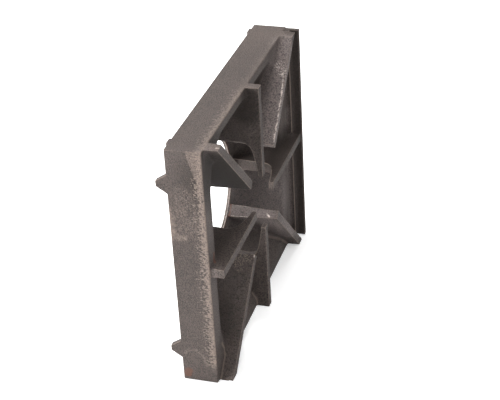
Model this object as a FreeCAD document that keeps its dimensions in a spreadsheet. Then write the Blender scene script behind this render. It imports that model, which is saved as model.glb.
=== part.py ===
import FreeCAD, Part
import math
import os

import Sketcher
from FreeCAD import Placement, Rotation, Vector

# The pan support is one iron casting: an oblong frame of deep rails, a dished bowl with a round
# burner hole, and eight upright fins whose crests carry the pan. It is drawn lying on its back,
# with its length along X, its width along Y and the crests on top, and then stood on the edge
# of one long rail.

# Driving sizes in millimetres, and one draft angle in degrees
SIZES = {
    # frame of rails
    "grate_length": 343,
    "grate_width": 305,
    "rail_depth": 42,
    "rail_wall": 7,
    "corner_round": 1.5,
    "edge_break": 0.8,
    "hollow_round": 5,
    # rim plate, bowl and burner hole
    "rim_plate": 7,
    "rim_side": 11.5,
    "rim_near": 24,
    "rim_far": 42.5,
    "rim_round": 9,
    "mouth_round": 54,
    "bowl_drop": 8,
    "bowl_wall": 8,
    "burner_offset": 3.5,
    "floor_half_length": 88,
    "floor_half_width": 80,
    "floor_round": 66,
    "floor_plate": 4,
    "hole_radius": 70,
    # fins
    "pan_height": 58,
    "fin_crest": 10.8,
    "fin_draft": 2.5,
    "fin_round": 1,
    "fin_sink": 4,
    "near_root_inset": 2.5,
    "mid_tip_radius": 35.5,
    "mid_end_radius": 80,
    "tip_depth": 6,
    "arch_start": 32,
    "arch_corner": 14,
    "arch_sweep": 160,
    "diagonal_tip_radius": 68,
    "diagonal_foot_radius": 72,
    # raised ledge along one rail
    "ledge_height": 59.5,
    "ledge_thickness": 6,
    "step_height": 48.5,
    "step_thickness": 13,
    # locating lugs and small pads under the rails
    "lug_reach": 13,
    "lug_base": 24,
    "lug_tip": 7,
    "lug_thickness": 7,
    "lug_inset": 43,
    "pad_reach": 2.5,
    "pad_length": 12,
    "pad_thickness": 7,
    "pad_inset": 20,
}

# Lengths that follow from the driving sizes, as expressions on the sheet
HALF_LENGTH = "(sizes.grate_length / 2)"
HALF_WIDTH = "(sizes.grate_width / 2)"
FLOOR_LEVEL = "(0 - sizes.bowl_drop)"
UNDERSIDE_LEVEL = f"({FLOOR_LEVEL} - sizes.floor_plate)"
MIDDLE_LEVEL = f"({FLOOR_LEVEL} - sizes.floor_plate / 2)"
SEAT_LEVEL = "(sizes.rail_depth - sizes.bowl_wall / 2)"
BOWL_RISE = f"(sizes.rail_depth - {FLOOR_LEVEL})"

# Outlines of the bowl, each as its reach towards the near rail, the far rail and the side rails
MOUTH = (
    f"({HALF_LENGTH} - sizes.rim_near)",
    f"({HALF_LENGTH} - sizes.rim_far)",
    f"({HALF_WIDTH} - sizes.rim_side)",
)
FLOOR = (
    "(sizes.floor_half_length + sizes.burner_offset)",
    "(sizes.floor_half_length - sizes.burner_offset)",
    "sizes.floor_half_width",
)

# Two levels or lengths closer than this are taken as the same
NEAR = 0.01

# Turns the burner axis from upright to level, along +X, and the far rail from +X to +Y
STANDING = Rotation(Vector(1, 1, 1), 120)

doc = FreeCAD.newDocument("pan_support_model")


def make_sheet():
    """Put every driving size in the sheet, one aliased cell each."""
    sheet = doc.addObject("Spreadsheet::Sheet", "sizes")
    for row, (alias, value) in enumerate(SIZES.items(), start=1):
        sheet.set(f"A{row}", alias)
        sheet.set(f"B{row}", str(value))
        sheet.setAlias(f"B{row}", alias)
    doc.recompute()
    return sheet


sizes = make_sheet()


def number(expression):
    """The present value of an expression on the sheet, in plain millimetres or degrees."""
    return float(sizes.evalExpression(str(expression).replace("sizes.", "")))


def fix_point(sketch, name, geometry, corner, x, y):
    """Hold one corner of a sketch at the sheet expressions x and y."""
    for kind, axis, expression in (("DistanceX", -2, x), ("DistanceY", -1, y)):
        value = number(expression)
        if abs(value) < 1e-9:
            sketch.addConstraint(Sketcher.Constraint("PointOnObject", geometry, corner, axis))
            continue
        label = f"{name}_{kind[-1].lower()}"
        if value > 0:
            ends = (-1, 1, geometry, corner)
            bound = str(expression)
        else:
            ends = (geometry, corner, -1, 1)
            bound = f"0 - {expression}"
        index = sketch.addConstraint(Sketcher.Constraint(kind, *ends, abs(value)))
        sketch.renameConstraint(index, label)
        sketch.setExpression(f"Constraints.{label}", bound)


def add_outline(sketch, corners):
    """A closed outline of straight lines through corners, a list of (name, x, y)."""
    first = sketch.GeometryCount
    points = [Vector(number(x), number(y), 0) for _, x, y in corners]
    count = len(points)
    for index in range(count):
        sketch.addGeometry(Part.LineSegment(points[index], points[(index + 1) % count]))
    for index in range(count):
        here = first + index
        after = first + (index + 1) % count
        sketch.addConstraint(Sketcher.Constraint("Coincident", here, 2, after, 1))
    for index, (name, x, y) in enumerate(corners):
        fix_point(sketch, name, first + index, 1, x, y)


def spread(outline, drop):
    """A bowl outline widened by what the bowl's slope gives over a drop, for every side."""
    return tuple(
        f"({reach} + {drop} * ({mouth} - {floor}) / {BOWL_RISE})"
        for reach, mouth, floor in zip(outline, MOUTH, FLOOR)
    )


def add_rounded_oblong(sketch, outline, corner):
    """An oblong with round corners; outline is its reach to the near, far and side rails."""
    near, far, side = outline
    radius = number(corner)
    turns = [(far, 1, 1), (near, -1, 1), (near, -1, -1), (far, 1, -1)]
    for quarter, (reach, side_x, side_y) in enumerate(turns):
        centre = Vector(side_x * (number(reach) - radius), side_y * (number(side) - radius), 0)
        start_angle = quarter * math.pi / 2
        circle = Part.Circle(centre, Vector(0, 0, 1), radius)
        sketch.addGeometry(Part.ArcOfCircle(circle, start_angle, start_angle + math.pi / 2))
    for quarter in range(4):
        start = sketch.getPoint(quarter, 2)
        end = sketch.getPoint((quarter + 1) % 4, 1)
        sketch.addGeometry(Part.LineSegment(start, end))
    for quarter in range(4):
        line = 4 + quarter
        sketch.addConstraint(Sketcher.Constraint("Tangent", quarter, 2, line, 1))
        sketch.addConstraint(Sketcher.Constraint("Tangent", line, 2, (quarter + 1) % 4, 1))
    for quarter, (reach, side_x, side_y) in enumerate(turns):
        x = f"({side_x} * ({reach} - {corner}))"
        y = f"({side_y} * ({side} - {corner}))"
        fix_point(sketch, f"centre_{quarter}", quarter, 3, x, y)
        if quarter:
            sketch.addConstraint(Sketcher.Constraint("Equal", 0, quarter))
    index = sketch.addConstraint(Sketcher.Constraint("Radius", 0, radius))
    sketch.renameConstraint(index, "corner")
    sketch.setExpression("Constraints.corner", corner)


def origin_plane(body, role):
    """One of the body's own origin planes, found by its role."""
    return next(feature for feature in body.Origin.OriginFeatures if feature.Role == role)


def body_sketch(body, name, role, level=None):
    """A sketch on an origin plane of the body, raised to a level given by an expression."""
    sketch = body.newObject("Sketcher::SketchObject", name)
    sketch.AttachmentSupport = (origin_plane(body, role), [""])
    sketch.MapMode = "FlatFace"
    if level is not None:
        sketch.setExpression("AttachmentOffset.Base.z", level)
    return sketch


def pad(body, name, sketch, length, reversed_way=False, midplane=False):
    """Raise a sketch into a solid of the given length."""
    feature = body.newObject("PartDesign::Pad", name)
    feature.Profile = sketch
    feature.setExpression("Length", length)
    feature.Reversed = reversed_way
    feature.Midplane = midplane
    return feature


def pocket(body, name, sketch, length, reversed_way=False, midplane=False):
    """Cut a sketch into the solid to the given depth."""
    feature = body.newObject("PartDesign::Pocket", name)
    feature.Profile = sketch
    feature.setExpression("Length", length)
    feature.Reversed = reversed_way
    feature.Midplane = midplane
    return feature


def loft(body, kind, name, first, second):
    """Join two sketches by a straight-sided loft that adds or removes metal."""
    feature = body.newObject(kind, name)
    feature.Profile = first
    feature.Sections = [second]
    feature.Ruled = True
    return feature


def dress_edges(body, kind, name, base, size, wanted):
    """Round or break the edges of base that are listed in wanted; size is (property, expression)."""
    edges = base.Shape.Edges
    names = [
        f"Edge{index + 1}" for index, edge in enumerate(edges)
        if any(edge.isSame(chosen) for chosen in wanted)
    ]
    feature = body.newObject(kind, name)
    feature.Base = (base, names)
    feature.setExpression(*size)
    return feature


def lies_at(edge, level):
    """True if the whole edge lies at one height."""
    box = edge.BoundBox
    return abs(box.ZMin - level) < NEAR and abs(box.ZMax - level) < NEAR


def lies_within(edge, outline):
    """True if the whole edge lies inside or on an outline given by its three reaches."""
    near, far, side = (number(reach) + NEAR for reach in outline)
    box = edge.BoundBox
    return box.XMin > -near and box.XMax < far and box.YMin > -side and box.YMax < side


def make_frame():
    """Rails, rim plate, bowl and burner hole, with the ledge, lugs and pads that stand on them."""
    body = doc.addObject("PartDesign::Body", "frame")

    outline = body_sketch(body, "rail_outline", "XY_Plane")
    add_rounded_oblong(outline, (HALF_LENGTH, HALF_LENGTH, HALF_WIDTH), "sizes.corner_round")
    pad(body, "rail_block", outline, "sizes.rail_depth")

    inner_length = f"({HALF_LENGTH} - sizes.rail_wall)"
    inner_width = f"({HALF_WIDTH} - sizes.rail_wall)"
    hollow = body_sketch(body, "hollow_outline", "XY_Plane")
    add_rounded_oblong(hollow, (inner_length, inner_length, inner_width), "sizes.hollow_round")
    pocket(body, "underside_hollow", hollow, "sizes.rail_depth - sizes.rim_plate", reversed_way=True)

    shell_top = body_sketch(body, "shell_top", "XY_Plane", "sizes.rail_depth - sizes.bowl_wall")
    add_rounded_oblong(shell_top, MOUTH, "sizes.mouth_round")
    shell_foot = body_sketch(body, "shell_foot", "XY_Plane", UNDERSIDE_LEVEL)
    add_rounded_oblong(shell_foot, spread(FLOOR, "(sizes.bowl_wall - sizes.floor_plate)"), "sizes.floor_round")
    loft(body, "PartDesign::AdditiveLoft", "bowl_shell", shell_top, shell_foot)

    mouth = body_sketch(body, "bowl_mouth", "XY_Plane", "sizes.rail_depth")
    add_rounded_oblong(mouth, MOUTH, "sizes.mouth_round")
    floor = body_sketch(body, "bowl_floor", "XY_Plane", FLOOR_LEVEL)
    add_rounded_oblong(floor, FLOOR, "sizes.floor_round")
    loft(body, "PartDesign::SubtractiveLoft", "bowl_hollow", mouth, floor)

    hole = body_sketch(body, "hole_outline", "XY_Plane")
    offset = number("sizes.burner_offset")
    hole.addGeometry(Part.Circle(Vector(-offset, 0, 0), Vector(0, 0, 1), number("sizes.hole_radius")))
    fix_point(hole, "centre", 0, 3, "(0 - sizes.burner_offset)", "0")
    index = hole.addConstraint(Sketcher.Constraint("Radius", 0, number("sizes.hole_radius")))
    hole.renameConstraint(index, "radius")
    hole.setExpression("Constraints.radius", "sizes.hole_radius")
    through = f"(0 - 4 * {UNDERSIDE_LEVEL})"
    burner_hole = pocket(body, "burner_hole", hole, through, midplane=True)
    doc.recompute()

    rim_level = number("sizes.rail_depth")
    mouth_edges = [
        edge for edge in burner_hole.Shape.Edges
        if lies_at(edge, rim_level) and lies_within(edge, MOUTH)
    ]
    shoulder = dress_edges(
        body, "PartDesign::Fillet", "rim_shoulder", burner_hole, ("Radius", "sizes.rim_round"), mouth_edges)
    doc.recompute()

    flat = (f"({HALF_LENGTH} - sizes.rail_wall)",) * 2 + (f"({HALF_WIDTH} - sizes.rail_wall / 2)",)
    outer_edges = [
        edge for edge in shoulder.Shape.Edges
        if lies_at(edge, rim_level) and not lies_within(edge, flat)
    ]
    dress_edges(
        body, "PartDesign::Chamfer", "rail_edges", shoulder, ("Size", "sizes.edge_break"), outer_edges)
    add_ledge(body)
    add_lugs(body)
    add_pads(body)
    doc.recompute()
    return body


def add_ledge(body):
    """The raised ledge along one rail: a step, and a thinner wall behind it."""
    step_face = f"({HALF_LENGTH} - sizes.step_thickness)"
    wall_face = f"({HALF_LENGTH} - sizes.ledge_thickness)"
    seat = "(sizes.rail_depth - sizes.rim_plate / 2)"
    profile = body_sketch(body, "ledge_profile", "XZ_Plane")
    add_outline(profile, [
        ("step_foot", step_face, seat),
        ("outer_foot", HALF_LENGTH, seat),
        ("outer_top", HALF_LENGTH, "sizes.ledge_height"),
        ("wall_top", wall_face, "sizes.ledge_height"),
        ("wall_foot", wall_face, "sizes.step_height"),
        ("step_top", step_face, "sizes.step_height"),
    ])
    return pad(body, "ledge", profile, "sizes.grate_width - 2 * sizes.corner_round", midplane=True)


def add_lugs(body):
    """Two tapering lugs under each of two opposite rails, flush with their outer faces."""
    for side, way in (("near", -1), ("far", 1)):
        profile = body_sketch(body, f"{side}_lug_profile", "YZ_Plane", f"{way} * {HALF_LENGTH}")
        for place, sign in (("low", -1), ("high", 1)):
            middle = f"({sign} * ({HALF_WIDTH} - sizes.lug_inset))"
            add_outline(profile, [
                (f"{place}_base_start", f"({middle} - sizes.lug_base / 2)", "sizes.edge_break"),
                (f"{place}_foot_start", f"({middle} - sizes.lug_base / 2)", "0"),
                (f"{place}_tip_start", f"({middle} - sizes.lug_tip / 2)", "(0 - sizes.lug_reach)"),
                (f"{place}_tip_end", f"({middle} + sizes.lug_tip / 2)", "(0 - sizes.lug_reach)"),
                (f"{place}_foot_end", f"({middle} + sizes.lug_base / 2)", "0"),
                (f"{place}_base_end", f"({middle} + sizes.lug_base / 2)", "sizes.edge_break"),
            ])
        pad(body, f"{side}_lugs", profile, "sizes.lug_thickness", reversed_way=way > 0)


def add_pads(body):
    """Two low pads under each of the other two rails, near the corners of the frame."""
    for side, way in (("bottom", -1), ("top", 1)):
        profile = body_sketch(body, f"{side}_pad_profile", "XZ_Plane", f"{-way} * {HALF_WIDTH}")
        for place, sign in (("near", -1), ("far", 1)):
            middle = f"({sign} * ({HALF_LENGTH} - sizes.pad_inset))"
            add_outline(profile, [
                (f"{place}_base_start", f"({middle} - sizes.pad_length / 2)", "sizes.edge_break"),
                (f"{place}_tip_start", f"({middle} - sizes.pad_length / 2)", "(0 - sizes.pad_reach)"),
                (f"{place}_tip_end", f"({middle} + sizes.pad_length / 2)", "(0 - sizes.pad_reach)"),
                (f"{place}_base_end", f"({middle} + sizes.pad_length / 2)", "sizes.edge_break"),
            ])
        pad(body, f"{side}_pads", profile, "sizes.pad_thickness", reversed_way=way < 0)


# Fins

# A sketch in the plane of a fin has the distance from the burner axis along its x, and height
# along its y. A sketch across the fin has the thickness along its x, and height along its y.
IN_PLANE = Rotation(Vector(1, 0, 0), 90)
ACROSS = Rotation(Vector(1, 1, 1), 120)
FIN_FOOT = UNDERSIDE_LEVEL
FIN_REACH = f"(({HALF_LENGTH} + sizes.burner_offset) * sqrt(2))"
TIP_LEVEL = "(sizes.pan_height - sizes.tip_depth)"
SECTION_FOOT = f"({FIN_FOOT} - sizes.fin_sink)"
HALF_CREST = "(sizes.fin_crest / 2)"
HALF_FOOT = f"({HALF_CREST} + (sizes.pan_height - {SECTION_FOOT}) * tan(sizes.fin_draft * 1deg))"
PLATE_WIDTH = f"(4 * {HALF_FOOT})"


def free_sketch(name, rotation):
    """A sketch that stands upright in the document, turned by rotation."""
    sketch = doc.addObject("Sketcher::SketchObject", name)
    sketch.Placement = Placement(Vector(0, 0, 0), rotation)
    return sketch


def add_arch(sketch, tip, corner):
    """The underside of a long fin: a tight corner that runs into a wide sweep up to the tip."""
    small = number("sizes.arch_corner")
    large = number("sizes.arch_sweep")
    tight = Vector(corner.x - small, corner.y, 0)
    span = tip - tight
    distance = span.Length
    along = (distance ** 2 + (large - small) ** 2 - large ** 2) / (2 * distance)
    aside = math.sqrt((large - small) ** 2 - along ** 2)
    unit = span / distance
    wide = tight + unit * along + Vector(-unit.y, unit.x, 0) * aside
    meeting = tight + (tight - wide) / (large - small) * small
    up = Vector(0, 0, 1)
    turn = math.atan2(meeting.y - tight.y, meeting.x - tight.x)
    start = math.atan2(meeting.y - wide.y, meeting.x - wide.x)
    end = math.atan2(tip.y - wide.y, tip.x - wide.x)
    arcs = (
        ("arch_corner", Part.ArcOfCircle(Part.Circle(tight, up, small), 0, turn)),
        ("arch_sweep", Part.ArcOfCircle(Part.Circle(wide, up, large), start, end)),
    )
    placed = []
    for alias, arc in arcs:
        geometry = sketch.addGeometry(arc)
        index = sketch.addConstraint(Sketcher.Constraint("Radius", geometry, number(f"sizes.{alias}")))
        sketch.renameConstraint(index, alias)
        sketch.setExpression(f"Constraints.{alias}", f"sizes.{alias}")
        placed.append(geometry)
    return placed


def long_fin_profile():
    """The side view of a fin that reaches far in over the hole, with an arch under its tip."""
    sketch = free_sketch("long_fin_profile", IN_PLANE)
    corners = [
        ("tip_under", "sizes.mid_tip_radius", TIP_LEVEL),
        ("tip_crest", "sizes.mid_tip_radius", "sizes.pan_height"),
        ("root_crest", FIN_REACH, "sizes.pan_height"),
        ("root_foot", FIN_REACH, FIN_FOOT),
        ("end_foot", "sizes.mid_end_radius", FIN_FOOT),
        ("end_top", "sizes.mid_end_radius", "sizes.arch_start"),
    ]
    points = [Vector(number(x), number(y), 0) for _, x, y in corners]
    for index in range(len(points) - 1):
        sketch.addGeometry(Part.LineSegment(points[index], points[index + 1]))
    for index in range(len(points) - 2):
        sketch.addConstraint(Sketcher.Constraint("Coincident", index, 2, index + 1, 1))
    end_line = len(points) - 2
    tight, wide = add_arch(sketch, points[0], points[-1])
    sketch.addConstraint(Sketcher.Constraint("Tangent", end_line, 2, tight, 1))
    sketch.addConstraint(Sketcher.Constraint("Tangent", tight, 2, wide, 1))
    sketch.addConstraint(Sketcher.Constraint("Coincident", wide, 2, 0, 1))
    for index, (name, x, y) in enumerate(corners[:-1]):
        fix_point(sketch, name, index, 1, x, y)
    index = sketch.addConstraint(
        Sketcher.Constraint("DistanceY", -1, 1, end_line, 2, number("sizes.arch_start")))
    sketch.renameConstraint(index, "end_top_y")
    sketch.setExpression("Constraints.end_top_y", "sizes.arch_start")
    sketch.addConstraint(Sketcher.Constraint("Vertical", end_line))
    return sketch


def short_fin_profile():
    """The side view of a fin that ends over the edge of the hole."""
    sketch = free_sketch("short_fin_profile", IN_PLANE)
    add_outline(sketch, [
        ("tip_crest", "sizes.diagonal_tip_radius", "sizes.pan_height"),
        ("root_crest", FIN_REACH, "sizes.pan_height"),
        ("root_foot", FIN_REACH, FIN_FOOT),
        ("end_foot", "sizes.diagonal_foot_radius", FIN_FOOT),
    ])
    return sketch


def fin_section():
    """The drafted cross-section that every fin shares: narrow at the crest, wide at the foot."""
    sketch = free_sketch("fin_section", ACROSS)
    add_outline(sketch, [
        ("crest_left", f"(0 - {HALF_CREST})", "sizes.pan_height"),
        ("foot_left", f"(0 - {HALF_FOOT})", SECTION_FOOT),
        ("foot_right", HALF_FOOT, SECTION_FOOT),
        ("crest_right", HALF_CREST, "sizes.pan_height"),
    ])
    return sketch


def extrude(name, sketch, direction, length, symmetric=False):
    """A solid drawn out of an upright sketch."""
    solid = doc.addObject("Part::Extrusion", name)
    solid.Base = sketch
    solid.DirMode = "Custom"
    solid.Dir = direction
    solid.setExpression("LengthFwd", length)
    solid.Symmetric = symmetric
    solid.Solid = True
    return solid


def make_fin(name, profile, section_bar):
    """One fin along +X: its side view and the shared cross-section, where both hold."""
    plate = extrude(f"{name}_plate", profile, Vector(0, 1, 0), PLATE_WIDTH, symmetric=True)
    fin = doc.addObject("Part::MultiCommon", name)
    fin.Shapes = [plate, section_bar]
    doc.recompute()
    crest = number("sizes.pan_height")
    radius = number("sizes.fin_round")
    rounded = [
        (index + 1, radius, radius)
        for index, edge in enumerate(fin.Shape.Edges) if lies_at(edge, crest)
    ]
    eased = doc.addObject("Part::Fillet", f"{name}_eased")
    eased.Base = fin
    eased.Edges = rounded
    return eased


def turned(name, fin, angle):
    """The same fin, turned about the burner axis by an angle in degrees."""
    copy = doc.addObject("App::Link", name)
    copy.LinkedObject = fin
    copy.Placement = Placement(Vector(0, 0, 0), Rotation(Vector(0, 0, 1), angle))
    copy.setExpression("Placement.Base.x", "0 - sizes.burner_offset")
    return copy


def make_fin_room():
    """Where fins may be: inside the bowl down to the middle of its wall, and above the rim."""
    bowl_room = doc.addObject("Part::Loft", "bowl_room")
    sections = []
    widened = spread(FLOOR, "(sizes.bowl_wall / 2 - sizes.floor_plate / 2)")
    for name, outline, corner, level in (
            ("seat_outline", MOUTH, "sizes.mouth_round", SEAT_LEVEL),
            ("foot_outline", widened, "sizes.floor_round", MIDDLE_LEVEL)):
        sketch = doc.addObject("Sketcher::SketchObject", name)
        sketch.setExpression("Placement.Base.z", level)
        add_rounded_oblong(sketch, outline, corner)
        sections.append(sketch)
    bowl_room.Sections = sections
    bowl_room.Solid = True
    bowl_room.Ruled = True

    upper_room = doc.addObject("Part::Box", "upper_room")
    far_end = f"({HALF_LENGTH} - sizes.ledge_thickness / 2)"
    near_end = f"(sizes.near_root_inset - {HALF_LENGTH})"
    upper_room.setExpression("Length", f"{far_end} - {near_end}")
    upper_room.setExpression("Width", "sizes.grate_width")
    upper_room.setExpression("Height", "2 * sizes.pan_height")
    upper_room.setExpression("Placement.Base.x", near_end)
    upper_room.setExpression("Placement.Base.y", f"0 - {HALF_WIDTH}")
    upper_room.setExpression("Placement.Base.z", SEAT_LEVEL)

    room = doc.addObject("Part::MultiFuse", "fin_room")
    room.Shapes = [bowl_room, upper_room]
    return room


def make_fins():
    """Four long fins square to the rails, and four short ones half way between them."""
    section_bar = extrude("section_bar", fin_section(), Vector(1, 0, 0), FIN_REACH)
    long_fin = make_fin("long_fin", long_fin_profile(), section_bar)
    short_fin = make_fin("short_fin", short_fin_profile(), section_bar)
    places = [
        ("far_fin", long_fin, 0),
        ("far_top_fin", short_fin, 45),
        ("top_fin", long_fin, 90),
        ("near_top_fin", short_fin, 135),
        ("near_fin", long_fin, 180),
        ("near_bottom_fin", short_fin, 225),
        ("bottom_fin", long_fin, 270),
        ("far_bottom_fin", short_fin, 315),
    ]
    star = doc.addObject("Part::MultiFuse", "fin_star")
    star.Shapes = [turned(name, fin, angle) for name, fin, angle in places]

    trimmed = doc.addObject("Part::MultiCommon", "fins")
    trimmed.Shapes = [star, make_fin_room()]
    return trimmed


# Whole casting


def make_casting():
    """Frame and fins as one piece, stood on the outer face of one rail over the row's origin."""
    casting = doc.addObject("Part::MultiFuse", "casting")
    casting.Shapes = [make_frame(), make_fins()]
    casting.Refine = True
    casting.Label = "pan_support"
    casting.Placement = Placement(Vector(0, 0, 0), STANDING)
    casting.setExpression("Placement.Base.x", "0 - (sizes.ledge_height - sizes.lug_reach) / 2")
    casting.setExpression("Placement.Base.z", HALF_WIDTH)
    doc.recompute()
    return casting


def check_document(casting):
    """Stop at any object that did not compute, or if the casting is not one sound solid."""
    for item in doc.Objects:
        if "Invalid" in item.State or "Error" in item.State:
            raise RuntimeError(f"{item.Name} did not compute: {item.State}")
    shape = casting.Shape
    if shape.isNull() or not shape.isValid() or len(shape.Solids) != 1:
        raise RuntimeError("the casting is not one sound solid")


pan_support = make_casting()
check_document(pan_support)
os.makedirs("parts", exist_ok=True)
pan_support.Shape.exportStep(f"parts/{pan_support.Label}.step")
box = pan_support.Shape.BoundBox
print(f"{pan_support.Label}: {pan_support.Shape.Volume:.0f} mm3, {len(pan_support.Shape.Faces)} faces")
print(f"x {box.XMin:.2f} to {box.XMax:.2f}, y {box.YMin:.2f} to {box.YMax:.2f}, z {box.ZMin:.2f} to {box.ZMax:.2f}")
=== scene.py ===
"""An oblong cast-iron hob pan support with a dished bowl and upright fins, stood on its edge.

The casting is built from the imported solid: its surface is laid out in fine, even facets, the
roots are filled to cast fillets, the arrises are eased, and the sand's unevenness is added.
"""

import math

import bpy
import numpy as np
from bpy.props import FloatProperty, FloatVectorProperty, IntProperty, PointerProperty
from mathutils import Matrix, Vector, kdtree, noise


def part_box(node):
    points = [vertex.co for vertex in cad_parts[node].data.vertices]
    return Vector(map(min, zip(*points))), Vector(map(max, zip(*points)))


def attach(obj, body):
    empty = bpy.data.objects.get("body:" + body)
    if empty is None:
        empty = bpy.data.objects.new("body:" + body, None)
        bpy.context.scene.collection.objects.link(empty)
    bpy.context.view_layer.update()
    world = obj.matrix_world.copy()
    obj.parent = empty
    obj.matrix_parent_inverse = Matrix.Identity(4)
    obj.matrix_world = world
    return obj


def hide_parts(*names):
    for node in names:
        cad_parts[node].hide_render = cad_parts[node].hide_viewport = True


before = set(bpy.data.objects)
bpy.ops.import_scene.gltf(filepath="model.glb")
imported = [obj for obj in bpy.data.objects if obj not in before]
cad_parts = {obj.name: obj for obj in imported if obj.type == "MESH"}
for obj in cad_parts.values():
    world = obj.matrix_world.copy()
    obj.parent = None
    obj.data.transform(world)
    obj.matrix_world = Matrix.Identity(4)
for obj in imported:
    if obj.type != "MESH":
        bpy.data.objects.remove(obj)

bl_info = {
    "name": "Cast Pan Support",
    "version": (1, 0, 0),
    "blender": (4, 5, 0),
    "location": "View3D > Sidebar > Pan Support",
    "description": "Builds a cast-iron hob pan support with its sand grain, wear and rust",
    "category": "Object",
}

CAST_NODE = "pan_support"
CAST_LOW, CAST_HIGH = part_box(CAST_NODE)
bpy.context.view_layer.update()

# Depths run along the burner axis towards the pan. The ledge stands highest, the crests of the
# fins end just below it, and the rim plane lies under both.
LEDGE_ABOVE_RIM = 0.0175
RIM_DEPTH = CAST_HIGH[0] - LEDGE_ABOVE_RIM
CREST_DEPTH = 0.03475

# The burner axis, along the length and in height, and the hole around it
BURNER_AXIS = (-0.0035, 0.1525)
HOLE_RADIUS = 0.070


# Sizes and colours that a user would change


class CastingSettings(bpy.types.PropertyGroup):
    """Shape and finish of the iron casting."""

    pitch: FloatProperty(
        name="Facet pitch", description="Spacing of the points that the surface is laid out on",
        default=0.0008, min=0.0007, max=0.004, precision=5, unit="LENGTH")
    root_passes: IntProperty(
        name="Root filling",
        description="How often the inner corners are filled; more gives larger fillets",
        default=36, min=0, max=120)
    arris_passes: IntProperty(
        name="Arris easing", description="How often the outer corners are worn down",
        default=1, min=0, max=20)
    triangles: IntProperty(
        name="Triangles", description="Upper limit for the triangles of the finished casting",
        default=190000, min=20000, max=195000)
    swell: FloatProperty(
        name="Unevenness", description="Depth of the long, shallow hollows that the sand mould leaves",
        default=0.0003, min=0.0, max=0.001, precision=5, unit="LENGTH")
    iron: FloatVectorProperty(
        name="Iron", description="Colour of the cast skin",
        subtype="COLOR", size=3, default=(0.065, 0.0525, 0.0475), min=0.0, max=1.0)
    # Colour of the painted shade in the corners and over the shaded patches
    painted_shade: FloatVectorProperty(
        name="Soot", description="Colour of sheltered corners",
        subtype="COLOR", size=3, default=(0.024, 0.0155, 0.0115), min=0.0, max=1.0)
    # Also the colour of the painted highlights along the roots of the lower fins
    rubbed: FloatVectorProperty(
        name="Rubbed", description="Colour of edges and scores rubbed lighter by handling",
        subtype="COLOR", size=3, default=(0.265, 0.205, 0.172), min=0.0, max=1.0)
    # Also the colour of the painted highlights (glints) at two fin tips and the near corner
    bare_and_glint: FloatVectorProperty(
        name="Bare", description="Colour of the few lines that are worn down to bright metal",
        subtype="COLOR", size=3, default=(0.75, 0.64, 0.58), min=0.0, max=1.0)
    rust: FloatVectorProperty(
        name="Rust", description="Colour of the rust spots",
        subtype="COLOR", size=3, default=(0.16, 0.062, 0.035), min=0.0, max=1.0)


class StudioSettings(bpy.types.PropertyGroup):
    """Floor, lights and camera."""

    floor: FloatVectorProperty(
        name="Floor", description="Colour of the floor", subtype="COLOR", size=3,
        default=(0.9, 0.9, 0.9), min=0.0, max=1.0)
    surround: FloatProperty(
        name="Surround", description="Brightness of the white room around the part",
        default=0.27, min=0.0, max=3.0)
    key: FloatProperty(
        name="Key light", description="Power of the low light at the front left",
        default=77.0, min=0.0, max=500.0, unit="POWER")
    overhead: FloatProperty(
        name="Overhead light", description="Power of the light above",
        default=35.0, min=0.0, max=500.0, unit="POWER")
    rear: FloatProperty(
        name="Rear light", description="Power of the high light behind on the left",
        default=43.0, min=0.0, max=500.0, unit="POWER")
    fill: FloatProperty(
        name="Fill light", description="Power of the high light on the right",
        default=16.0, min=0.0, max=500.0, unit="POWER")
    floor_glow: FloatProperty(
        name="Floor glow", description="How much the exposure lifts the floor towards white",
        default=0.75, min=0.0, max=3.0)


# Mesh work

WELD_DISTANCE = 1e-6

# Filling of the roots: passes between two readings of the normals, the lift in facet pitches
# from which a point moves in full, and the share of the way that it moves
NORMALS_EVERY = 4
FULL_LIFT = 0.05
ROOT_STEP = 0.6
ARRIS_STEP = 0.5

# Masks of the corners: how fast each one fills with the lift, and how the inner one is spread
ARRIS_GAIN = 6.0
ROOT_GAIN = 8.0
ROOT_SPREAD_PASSES = 10
ROOT_SPREAD = 0.7

# Hollows of the sand mould: noise scales per metre, and the depth of the fine ones
WIDE_HOLLOWS = 45.0
FINE_HOLLOWS = 260.0
FINE_DEPTH = 0.45


def surface_links(mesh):
    """The two ends of every edge, and how many edges meet in each point."""
    ends = np.empty(len(mesh.edges) * 2, np.int32)
    mesh.edges.foreach_get("vertices", ends)
    first, second = ends.reshape(-1, 2).T
    degree = np.bincount(ends, minlength=len(mesh.vertices)).astype(float)
    return first.copy(), second.copy(), np.maximum(degree, 1.0)


def neighbour_mean(values, links):
    """For each point, the mean of values over the points it shares an edge with."""
    first, second, degree = links
    count = len(degree)
    columns = values.reshape(count, -1)
    mean = np.empty_like(columns)
    for column in range(columns.shape[1]):
        own = columns[:, column]
        total = np.bincount(first, own[second], count) + np.bincount(second, own[first], count)
        mean[:, column] = total / degree
    return mean.reshape(values.shape)


def read_points(mesh, field="co"):
    """Places or normals of the mesh's points, as an array."""
    values = np.empty(len(mesh.vertices) * 3, np.float32)
    mesh.vertices.foreach_get(field, values)
    return values.reshape(-1, 3).astype(float)


def write_points(mesh, points):
    """Move the mesh's points."""
    mesh.vertices.foreach_set("co", points.astype(np.float32).ravel())
    mesh.update()


def apply_modifier(piece, kind, **settings):
    """Run one modifier on a piece and keep its result as the piece's mesh."""
    modifier = piece.modifiers.new(kind.title(), kind)
    for name, value in settings.items():
        setattr(modifier, name, value)
    graph = bpy.context.evaluated_depsgraph_get()
    result = bpy.data.meshes.new_from_object(piece.evaluated_get(graph), depsgraph=graph)
    piece.modifiers.remove(modifier)
    old = piece.data
    piece.data = result
    if old.users == 0:
        bpy.data.meshes.remove(old)


def corner_lift(points, normals, links):
    """The way from each point to the middle of its neighbours, and its share along the normal.

    That share is positive in an inner corner and negative on an outer one.
    """
    move = neighbour_mean(points, links) - points
    return move, np.einsum("ij,ij->i", move, normals)


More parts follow.
